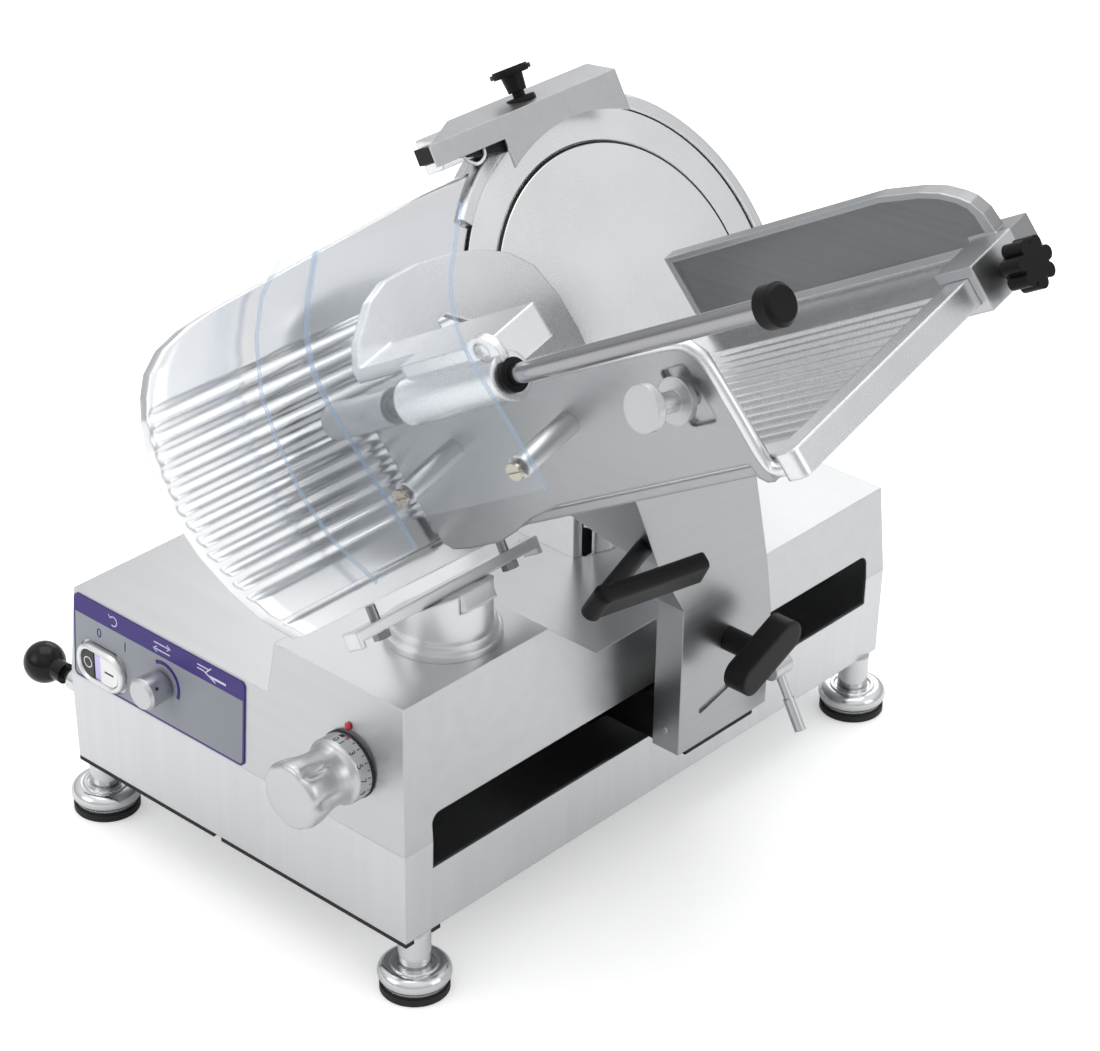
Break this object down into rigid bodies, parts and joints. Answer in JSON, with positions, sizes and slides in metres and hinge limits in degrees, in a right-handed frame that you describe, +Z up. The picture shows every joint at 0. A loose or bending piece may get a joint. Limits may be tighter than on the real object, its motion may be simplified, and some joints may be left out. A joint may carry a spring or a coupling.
{
  "type": "gravity slicer",
  "caption": "Free-standing gravity slicer with a tilted round blade, sliding product table, pusher, fence, gauge plate, clear guard and thickness dial.",
  "frame": {"origin": "centre of the bounding box in plan, at the height of the foot pads' undersides", "axes": "+Z up, -Y towards the user who stands at the control panel, +X to the user's right, where the table is"},
  "size_m": [0.7646, 0.7066, 0.7053],
  "materials": {
    "brushed_housing": "satin",
    "deck_steel": "satin",
    "plate_steel": "matte",
    "black_seal": "matte",
    "foot_steel": "polished",
    "foot_rubber": "matte",
    "panel_grey": "satin",
    "bezel_satin": "satin",
    "lamp_lilac": "glossy",
    "button_black": "glossy",
    "button_white": "glossy",
    "knob_aluminium": "satin",
    "dial_aluminium": "satin",
    "cast_aluminium": "satin",
    "gauge_aluminium": "polished",
    "blade_steel": "polished",
    "machined_steel": "machined",
    "bolt_steel": "satin",
    "motor_paint": "satin",
    "belt_rubber": "matte",
    "black_plastic": "matte",
    "ball_black": "glossy",
    "stone_grit": "rough",
    "arm_steel": "satin",
    "fence_steel": "satin",
    "rod_steel": "polished",
    "clear_sheet": "clear",
    "screw_brass": "satin"
  },
  "bodies": {
    "base": {"lower_housing": "brushed_housing", "upper_housing": "deck_steel", "base_plate": "plate_steel", "base_gasket": "black_seal", "feet": "foot_steel", "foot_pads": "foot_rubber", "control_panel": "panel_grey", "switch_bezel": "bezel_satin", "pilot_lamp": "lamp_lilac", "gauge_turret": "cast_aluminium", "blade_housing": "cast_aluminium", "guard_ring": "cast_aluminium", "blade_cover": "blade_steel", "blade_bearing": "machined_steel", "drive_belt": "belt_rubber", "blade_motor": "motor_paint", "sharpener_cover": "arm_steel", "sharpener_body": "cast_aluminium", "guide_rails": "rod_steel", "drive_chain": "machined_steel", "carriage_motor": "motor_paint", "cable_gland": "black_plastic"},
    "stop_button": {"stop_button": "button_black"},
    "start_button": {"start_button": "button_white"},
    "selector": {"selector_knob": "knob_aluminium"},
    "dial": {"thickness_knob": "dial_aluminium", "dial_cam": "machined_steel"},
    "left_knob": {"ball_knob": "ball_black"},
    "gauge": {"slide_block": "machined_steel", "gauge_bar": "bolt_steel", "gauge_bolts": "bolt_steel", "gauge_plate": "gauge_aluminium"},
    "blade": {"blade": "blade_steel", "blade_shaft": "machined_steel", "blade_pulley": "machined_steel"},
    "motor_spindle": {"motor_pulley": "machined_steel"},
    "sharpener_press": {"sharpener_knob": "black_plastic", "stone_carrier": "machined_steel"},
    "grinding_stone": {"grinding_stone": "stone_grit"},
    "deburring_stone": {"deburring_stone": "stone_grit"},
    "drive_wheel": {"drive_sprocket": "machined_steel"},
    "idler_wheel": {"idler_sprocket": "machined_steel"},
    "carriage": {"carriage_shoe": "black_plastic", "carriage_arm": "arm_steel", "carriage_handle": "black_plastic", "product_table": "cast_aluminium", "front_wall": "cast_aluminium", "pusher_rod": "rod_steel", "rod_cap": "black_plastic", "clear_guard": "clear_sheet", "guard_wing": "clear_sheet", "guard_standoffs": "knob_aluminium", "guard_screws": "screw_brass"},
    "wing_knob": {"wing_knob": "black_plastic"},
    "clamp_lever": {"clamp_lever": "knob_aluminium"},
    "pull_knob": {"pull_knob": "knob_aluminium"},
    "fence": {"fence": "fence_steel"},
    "star_knob": {"star_knob": "black_plastic"},
    "pusher_slider": {"pusher_bush": "black_plastic"},
    "pusher": {"pusher": "cast_aluminium"}
  },
  "joints": [
    {"name": "stop_press", "type": "slide", "parent": "base", "child": "stop_button", "axis": [0, 1, 0], "range_m": [0, 0.002], "stiffness_N_per_m": 300},
    {"name": "start_press", "type": "slide", "parent": "base", "child": "start_button", "axis": [0, 1, 0], "range_m": [0, 0.002], "stiffness_N_per_m": 300},
    {"name": "selector_turn", "type": "hinge", "parent": "base", "child": "selector", "pos_m": [-0.19928, -0.24565, 0.174], "axis": [0, -1, 0], "range_deg": [-135, 135]},
    {"name": "gauge_travel", "type": "slide", "parent": "base", "child": "gauge", "axis": [-0.866, 0, -0.5], "range_m": [0, 0.015]},
    {"name": "dial_turn", "type": "hinge", "parent": "base", "child": "dial", "pos_m": [0.00972, -0.24565, 0.193], "axis": [0, -1, 0], "range_deg": [0, 330]},
    {"name": "left_knob_pull", "type": "slide", "parent": "base", "child": "left_knob", "axis": [-1, 0, 0], "range_m": [0, 0.008], "stiffness_N_per_m": 300},
    {"name": "blade_spin", "type": "hinge", "parent": "base", "child": "blade", "pos_m": [-0.03818, 0.12265, 0.4297], "axis": [0.866, 0, 0.5], "continuous": true},
    {"name": "motor_spin", "type": "hinge", "parent": "base", "child": "motor_spindle", "pos_m": [-0.0393, 0.20065, 0.40365], "axis": [0.866, 0, 0.5], "continuous": true},
    {"name": "sharpener_push", "type": "slide", "parent": "base", "child": "sharpener_press", "axis": [0.5, 0, -0.866], "range_m": [0, 0.004], "stiffness_N_per_m": 400},
    {"name": "grinding_stone_spin", "type": "hinge", "parent": "sharpener_press", "child": "grinding_stone", "pos_m": [-0.1399, 0.07435, 0.57189], "axis": [0.866, 0, 0.5], "continuous": true},
    {"name": "deburring_stone_spin", "type": "hinge", "parent": "sharpener_press", "child": "deburring_stone", "pos_m": [-0.11267, 0.12035, 0.58472], "axis": [0.866, 0, 0.5], "continuous": true},
    {"name": "carriage_travel", "type": "slide", "parent": "base", "child": "carriage", "axis": [0, 1, 0], "range_m": [-0.215, 0.185]},
    {"name": "drive_wheel_turn", "type": "hinge", "parent": "base", "child": "drive_wheel", "pos_m": [-0.04028, 0.28635, 0.17], "axis": [-1, 0, 0], "range_deg": [-534, 620]},
    {"name": "idler_wheel_turn", "type": "hinge", "parent": "base", "child": "idler_wheel", "pos_m": [-0.04028, -0.18765, 0.17], "axis": [-1, 0, 0], "range_deg": [-534, 620]},
    {"name": "wing_knob_turn", "type": "hinge", "parent": "carriage", "child": "wing_knob", "pos_m": [0.14472, 0.07235, 0.209], "axis": [1, 0, 0], "range_deg": [-180, 180]},
    {"name": "clamp_lever_turn", "type": "hinge", "parent": "carriage", "child": "clamp_lever", "pos_m": [0.11972, 0.13635, 0.153], "axis": [0, 1, 0], "range_deg": [-60, 20]},
    {"name": "pull_knob_travel", "type": "slide", "parent": "carriage", "child": "pull_knob", "axis": [-0.0868, -0.9848, 0.1504], "range_m": [0, 0.008], "stiffness_N_per_m": 300},
    {"name": "fence_travel", "type": "slide", "parent": "carriage", "child": "fence", "axis": [-0.104, 0.9781, 0.1801], "range_m": [-0.12, 0.004]},
    {"name": "star_knob_turn", "type": "hinge", "parent": "fence", "child": "star_knob", "pos_m": [0.35265, 0.09786, 0.60676], "axis": [0.866, 0, 0.5], "range_deg": [-180, 180]},
    {"name": "pusher_travel", "type": "slide", "parent": "carriage", "child": "pusher_slider", "axis": [0.866, 0, 0.5], "range_m": [-0.014, 0.23]},
    {"name": "pusher_swing", "type": "hinge", "parent": "pusher_slider", "child": "pusher", "pos_m": [0.0957, -0.20907, 0.53182], "axis": [0.866, 0, 0.5], "range_deg": [0, 22]}
  ],
  "couplings": [
    {"joint": "dial_turn", "follows": "gauge_travel", "rad_per_m": 383.97},
    {"joint": "motor_spin", "follows": "blade_spin", "ratio": 2.5556},
    {"joint": "drive_wheel_turn", "follows": "carriage_travel", "rad_per_m": -50},
    {"joint": "idler_wheel_turn", "follows": "carriage_travel", "rad_per_m": -50}
  ]
}
